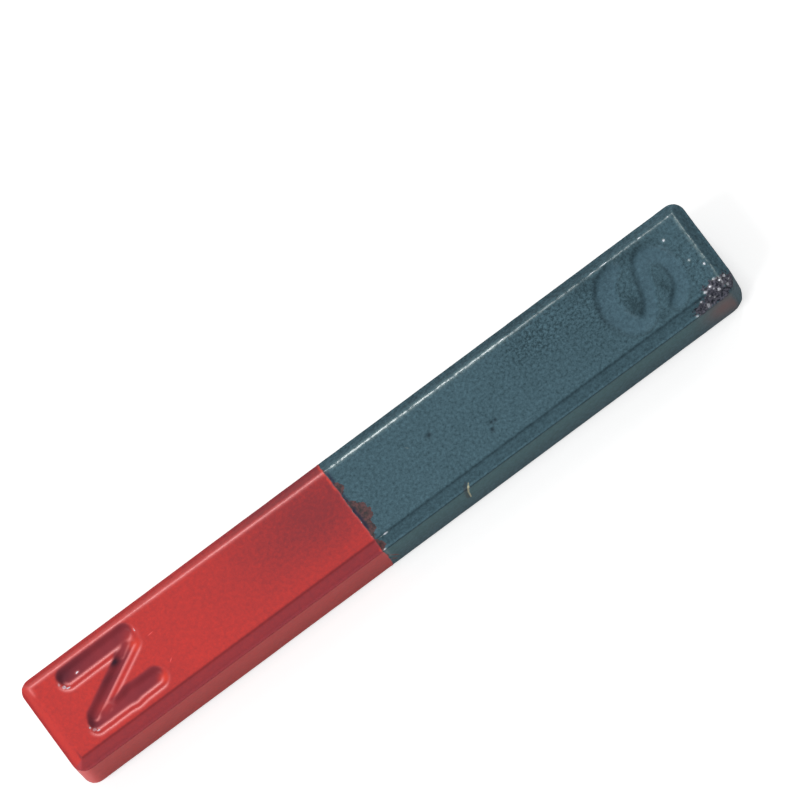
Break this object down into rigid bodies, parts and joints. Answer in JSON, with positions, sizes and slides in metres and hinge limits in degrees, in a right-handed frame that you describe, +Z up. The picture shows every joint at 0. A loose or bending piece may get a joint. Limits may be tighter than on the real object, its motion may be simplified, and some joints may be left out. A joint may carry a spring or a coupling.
{
  "type": "ferrite bar magnet",
  "caption": "Rectangular ferrite bar magnet with bevelled edges, painted red on its north half and blue-grey on its south half.",
  "frame": {"origin": "middle of the underside", "axes": "+X along the bar towards the south pole face, +Y across the bar, +Z up out of the lettered broad face"},
  "size_m": [0.058, 0.008, 0.006],
  "materials": {
    "painted_ferrite": "two coats of gloss paint, red towards -X and blue-grey towards +X, worn through to dark ferrite in places"
  },
  "bodies": {
    "root": {"ferrite_bar": "painted_ferrite"}
  },
  "joints": []
}
